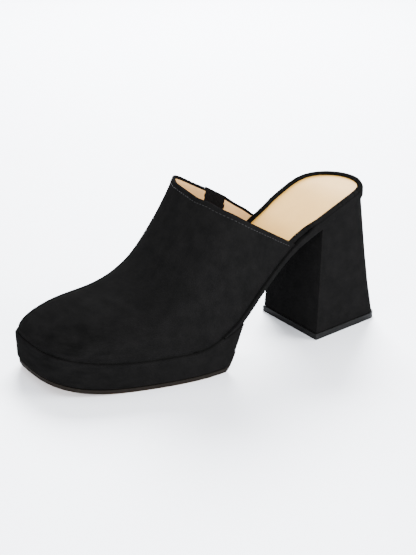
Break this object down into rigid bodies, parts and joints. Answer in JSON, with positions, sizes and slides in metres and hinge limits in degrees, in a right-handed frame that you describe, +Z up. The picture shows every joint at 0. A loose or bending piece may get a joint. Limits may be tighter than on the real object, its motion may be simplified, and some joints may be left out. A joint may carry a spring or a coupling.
{
  "type": "heeled platform mule",
  "caption": "Backless heeled shoe for the left foot: suede vamp with an elastic gore, wrapped platform, flared block heel and leather sock.",
  "frame": {"origin": "on the floor under the middle of the shoe's box", "axes": "+Z up, +Y from the heel towards the toe, +X towards the medial side"},
  "size_m": [0.0956, 0.2436, 0.1102],
  "materials": {
    "black_suede": "matt suede with a short nap",
    "beige_leather": "smooth lining leather, satin",
    "black_elastic": "ribbed woven elastic",
    "outsole_rubber": "matt tan-brown rubber",
    "tap_rubber": "hard black rubber, slight gloss"
  },
  "bodies": {
    "root": {"outsole": "outsole_rubber", "platform": "black_suede", "insole_board": "black_suede", "insole_sock": "beige_leather", "upper": "black_suede", "elastic_gore": "black_elastic", "heel": "black_suede", "top_piece": "tap_rubber"}
  },
  "joints": []
}
